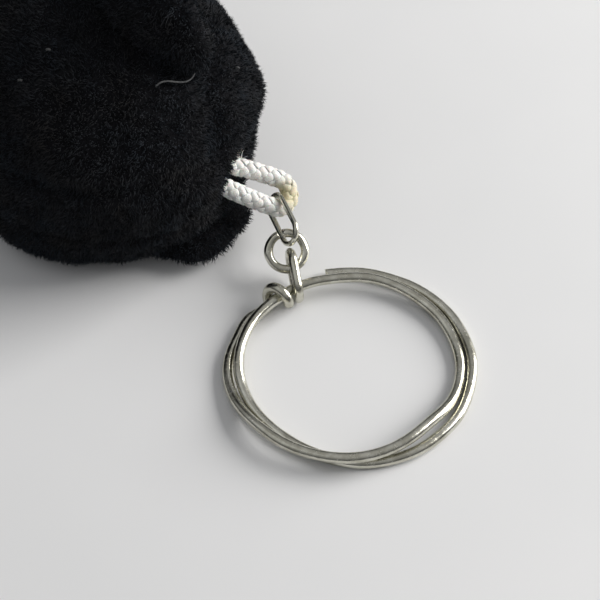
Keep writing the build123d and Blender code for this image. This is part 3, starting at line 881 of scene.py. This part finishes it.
def yarn(path, places, way, index):
    """One flattened yarn of the braid, passing over and under the ones that wind the other way."""
    ahead = unit(np.gradient(path, axis=0))
    normal = np.broadcast_to(CORD_NORMAL, path.shape)
    side = np.cross(ahead, normal)
    turned = 2 * np.pi * places / BRAID_PITCH
    wobble = YARN_WOBBLE * np.sin(places * 1.7 + 2.1 * index + way)
    angle = 2 * np.pi * index / YARNS + way * turned + wobble
    outward = side * np.cos(angle)[:, None] + normal * np.sin(angle)[:, None]
    radius = CORD_RADIUS - YARN_IN + YARN_OVER * way * np.cos(YARNS * turned)
    radius = radius + 0.03 * np.sin(places * 2.9 + index)
    middle = path + outward * radius[:, None]
    along = unit(np.gradient(middle, axis=0))
    across = unit(np.cross(along, outward))
    plump = (1 + YARN_PLUMP * way * np.cos(YARNS * turned))[:, None]
    strips = []
    for j in range(YARN_SIDES):
        a = 2 * np.pi * j / YARN_SIDES
        sideways = across * YARN_HALF_WIDTH * plump * math.cos(a)
        strips.append(middle + sideways + outward * YARN_HALF_THICKNESS * plump * math.sin(a))
    points = np.stack(strips, axis=1).reshape(-1, 3)
    return points, grid_faces(len(path), YARN_SIDES)


def braid(path, places):
    """All the yarns of a stretch of cord, round its core."""
    parts = [yarn(path, places, way, index) for way in (1, -1) for index in range(YARNS)]
    parts.append(tube(path, CORD_RADIUS * CORE_SHARE, 12))
    return joined(parts)


def stray_fibres(roots, ways, length, seed, width=0.035):
    """Thin curved fibres that stand away from a surface."""
    random = np.random.default_rng(seed)
    parts = []
    for root, way in zip(roots, ways):
        bend = unit(random.normal(size=3))
        long = length * random.uniform(0.5, 1.2)
        t = np.linspace(0, 1, 6)[:, None]
        path = root + way * long * t + bend * long * 0.35 * t * t
        parts.append(tube(path, width * (1 - 0.6 * t[:, 0]), 4))
    return joined(parts)


def make_cord():
    """The strands held by the seam, the loop beyond them, the frayed tuft and the fuzz."""
    path, places, along = cord_path(CORD_INSIDE)
    bend = np.dot(CORD_BEND - CORD_ROOT, CORD_ALONG)
    outer = along > bend - BEND_BEFORE
    first, last = np.argmax(outer), len(outer) - np.argmax(outer[::-1])
    loop = braid(path[first - 1:last + 1], places[first - 1:last + 1])
    lower, upper = braid(path[:first + 1], places[:first + 1]), braid(path[last - 1:], places[last - 1:])
    root_piece = mesh_object("cord_root_braid", *joined([lower, upper]), CORD, None)
    loop_piece = mesh_object("cord_loop_braid", *loop, CORD, None)
    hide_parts("cord_root")
    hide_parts("cord_loop")
    skin(root_piece)
    skin(loop_piece)
    random = np.random.default_rng(61)
    tuft_at = CORD_ROOT + CORD_ALONG * FRAY_AT + CORD_ACROSS * (STRAND_APART + FRAY_OUT)
    roots = tuft_at + random.normal(scale=FRAY_ACROSS, size=(FRAY_COUNT, 3))
    ways = unit(np.array(FRAY_WAY) + random.normal(scale=FRAY_SPREAD, size=(FRAY_COUNT, 3)))
    fibres = stray_fibres(roots, ways, FRAY_LENGTH, 62)
    tuft = mesh_object("cord_fray", *fibres, CORD, "cord_root")
    chosen = random.choice(np.nonzero(along > bend)[0], FUZZ_COUNT)
    ways = unit(random.normal(size=(FUZZ_COUNT, 3)))
    roots = path[chosen] + ways * CORD_RADIUS * 0.95
    fibres = stray_fibres(roots, ways, FUZZ_LENGTH, 63, FUZZ_WIDTH)
    fuzz = mesh_object("cord_fuzz", *fibres, CORD, "cord_loop")


# ---- metal --------------------------------------------------------------------------------------------
def dented(depth, size, seed):
    """Shape change for a hand bent wire: slow wander and small dents."""

    def change(points):
        wander = np.stack([lumps(points, size, seed + i, 12) for i in range(3)], axis=1)
        return points + wander * depth

    return change


def make_metal():
    """The metal pieces: depth and size of their dents, seed, and how coarse their tarnish is."""
    looks = {
        "jump_ring": (0.02, 3.0, 71, 0.1),
        "round_link": (0.03, 2.5, 72, 0.3),
        "oval_link": (0.03, 3.0, 73, 0.5),
        "key_ring": (0.07, 9.0, 74, 0.0),
    }
    for node, (depth, size, seed, coarser) in looks.items():
        nickel = nickel_material("nickel_" + node, coarser)
        piece = smooth_copy(node, node, nickel, dented(depth, size, seed))


# ---- lint ---------------------------------------------------------------------------------------------
def on_head(around, up):
    """Point on top of the head's pile, from two angles in degrees."""
    a, u = math.radians(around), math.radians(up)
    way = np.array([[math.cos(a) * math.cos(u), math.sin(a) * math.cos(u), math.sin(u)]])
    return head_form(way)[0] + unit(way[0]) * PILE * 0.9


def make_lint():
    """A loose pale thread and a few specks caught in the pile."""
    bends = [(-21, 45), (-18, 45.5), (-15, 45), (-11, 43), (-7, 41.5), (-3, 41.5), (2, 43)]
    knots = np.array([on_head(*bend) for bend in bends])
    t = np.linspace(0, len(knots) - 1, 40)
    path = np.stack([np.interp(t, range(len(knots)), knots[:, k]) for k in range(3)], axis=1)
    for _ in range(4):
        path[1:-1] = (path[:-2] + path[2:]) / 2
    thread = mesh_object("lint_thread", *tube(path, 0.1, 8), LINT, "head")
    crumb = np.array([[-0.25, 0, 0], [0, 0.12, 0.08], [0.22, 0.2, 0]])
    places = ((-73, 59), (-83, 47), (18, 32))
    crumbs = [tube(on_head(around, up) + crumb, 0.14, 6) for around, up in places]
    specks = mesh_object("lint_specks", *joined(crumbs), LINT, "head")


# ---- stage, light and camera --------------------------------------------------------------------------
FLOOR_SIDE = 4000.0      # half the floor's side
FLOOR_GAP = 0.02
KEY_FROM, KEY_SIZE, KEY_POWER = (0.33, 0.45, 0.27), 0.42, 5.7    # metres from the ring's middle; watts
FILL_FROM, FILL_SIZE, FILL_POWER = (-0.30, -0.30, 0.55), 0.6, 0.25
SKY_STRENGTH = 0.45
CAMERA_AZIMUTH, CAMERA_ELEVATION, CAMERA_DISTANCE = 35, 52, 160.0
CAMERA_LENS = 80.6       # for a 36 mm wide picture
CAMERA_AIM = (-8.5, 1.3)     # the camera looks this far from the ring's middle
CAMERA_AIM_HEIGHT = 5.7


def make_stage():
    """Plain pale floor."""
    made, tree, shader = material("table_top")
    colour = ramp(tree, noise(tree, 60, 3), (0.3, (0.78, 0.785, 0.79)), (0.7, (0.82, 0.82, 0.825)))
    tree.links.new(colour, shader.inputs["Base Color"])
    shader.inputs["Roughness"].default_value = 0.5
    shader.inputs["Specular IOR Level"].default_value = 0.25
    square = [[-1, -1, 0], [1, -1, 0], [1, 1, 0], [-1, 1, 0]]
    floor = mesh_object("floor", np.array(square) * FLOOR_SIDE, [[0, 1, 2, 3]], made, None)
    floor.location.z = -FLOOR_GAP * MM


def direction_angles(aim):
    """Rotation that points an object's -Z axis along a direction, with its Y axis up."""
    return Vector(aim).to_track_quat("-Z", "Y").to_euler()


def area_light(name, offset, target, size, power, colour):
    """Square soft light that faces a point from some distance, in metres."""
    data = bpy.data.lights.new(name, "AREA")
    data.size = size
    data.energy = power
    data.color = colour
    lamp = bpy.data.objects.new(name, data)
    bpy.context.scene.collection.objects.link(lamp)
    place = target + np.array(offset)
    lamp.location = place
    lamp.rotation_euler = direction_angles(target - place)


def make_sky():
    """Pale studio room, brighter above; the camera itself sees a plain backdrop."""
    world = bpy.data.worlds.new("studio")
    bpy.context.scene.world = world
    world.use_nodes = True
    tree = world.node_tree
    background = tree.nodes["Background"]
    seen = add(tree, "ShaderNodeBackground")
    seen.inputs["Color"].default_value = (0.70, 0.705, 0.71, 1)
    by_camera = add(tree, "ShaderNodeLightPath").outputs["Is Camera Ray"]
    mix = add(tree, "ShaderNodeMixShader")
    tree.links.new(by_camera, mix.inputs[0])
    tree.links.new(background.outputs[0], mix.inputs[1])
    tree.links.new(seen.outputs[0], mix.inputs[2])
    tree.links.new(mix.outputs[0], tree.nodes["World Output"].inputs["Surface"])
    place = add(tree, "ShaderNodeTexCoord").outputs["Generated"]
    apart = add(tree, "ShaderNodeSeparateXYZ")
    tree.links.new(place, apart.inputs[0])
    below, horizon = (0.0, grey(0.10)), (0.22, (0.20, 0.205, 0.21))
    middle, top = (0.5, (0.55, 0.555, 0.57)), (0.95, grey(0.9))
    sky = ramp(tree, apart.outputs["Z"], below, horizon, middle, top)
    tree.links.new(sky, background.inputs["Color"])
    background.inputs["Strength"].default_value = SKY_STRENGTH


def make_light():
    """A large soft key light beyond the cord, a weak fill and the sky."""
    low, high = corners("key_ring")
    middle = (low + high) / 2 * MM
    area_light("key_light", KEY_FROM, middle, KEY_SIZE, KEY_POWER, (1, 0.985, 0.965))
    area_light("fill_light", FILL_FROM, middle, FILL_SIZE, FILL_POWER, (0.93, 0.965, 1))
    make_sky()


def make_camera():
    """Looks down on the ring from beyond the cord, as a person holding a camera would."""
    low, high = corners("key_ring")
    middle = (low + high) / 2
    aim = np.array([middle[0] + CAMERA_AIM[0], middle[1] + CAMERA_AIM[1], CAMERA_AIM_HEIGHT])
    azimuth, elevation = math.radians(CAMERA_AZIMUTH), math.radians(CAMERA_ELEVATION)
    level = math.cos(elevation)
    back = np.array([math.sin(azimuth) * level, -math.cos(azimuth) * level, math.sin(elevation)])
    data = bpy.data.cameras.new("camera")
    data.lens, data.sensor_width = CAMERA_LENS, 36.0
    data.clip_start = 0.01
    camera = bpy.data.objects.new("camera", data)
    bpy.context.scene.collection.objects.link(camera)
    camera.location = (aim + back * CAMERA_DISTANCE) * MM
    camera.rotation_euler = direction_angles(-back)
    bpy.context.scene.camera = camera


make_head()
make_ears()
make_face()
make_torso()
make_tail()
make_neck()
make_limbs()
make_label()
make_cord()
make_metal()
make_lint()
make_stage()
make_light()
make_camera()
bpy.context.scene.view_settings.view_transform = "Standard"
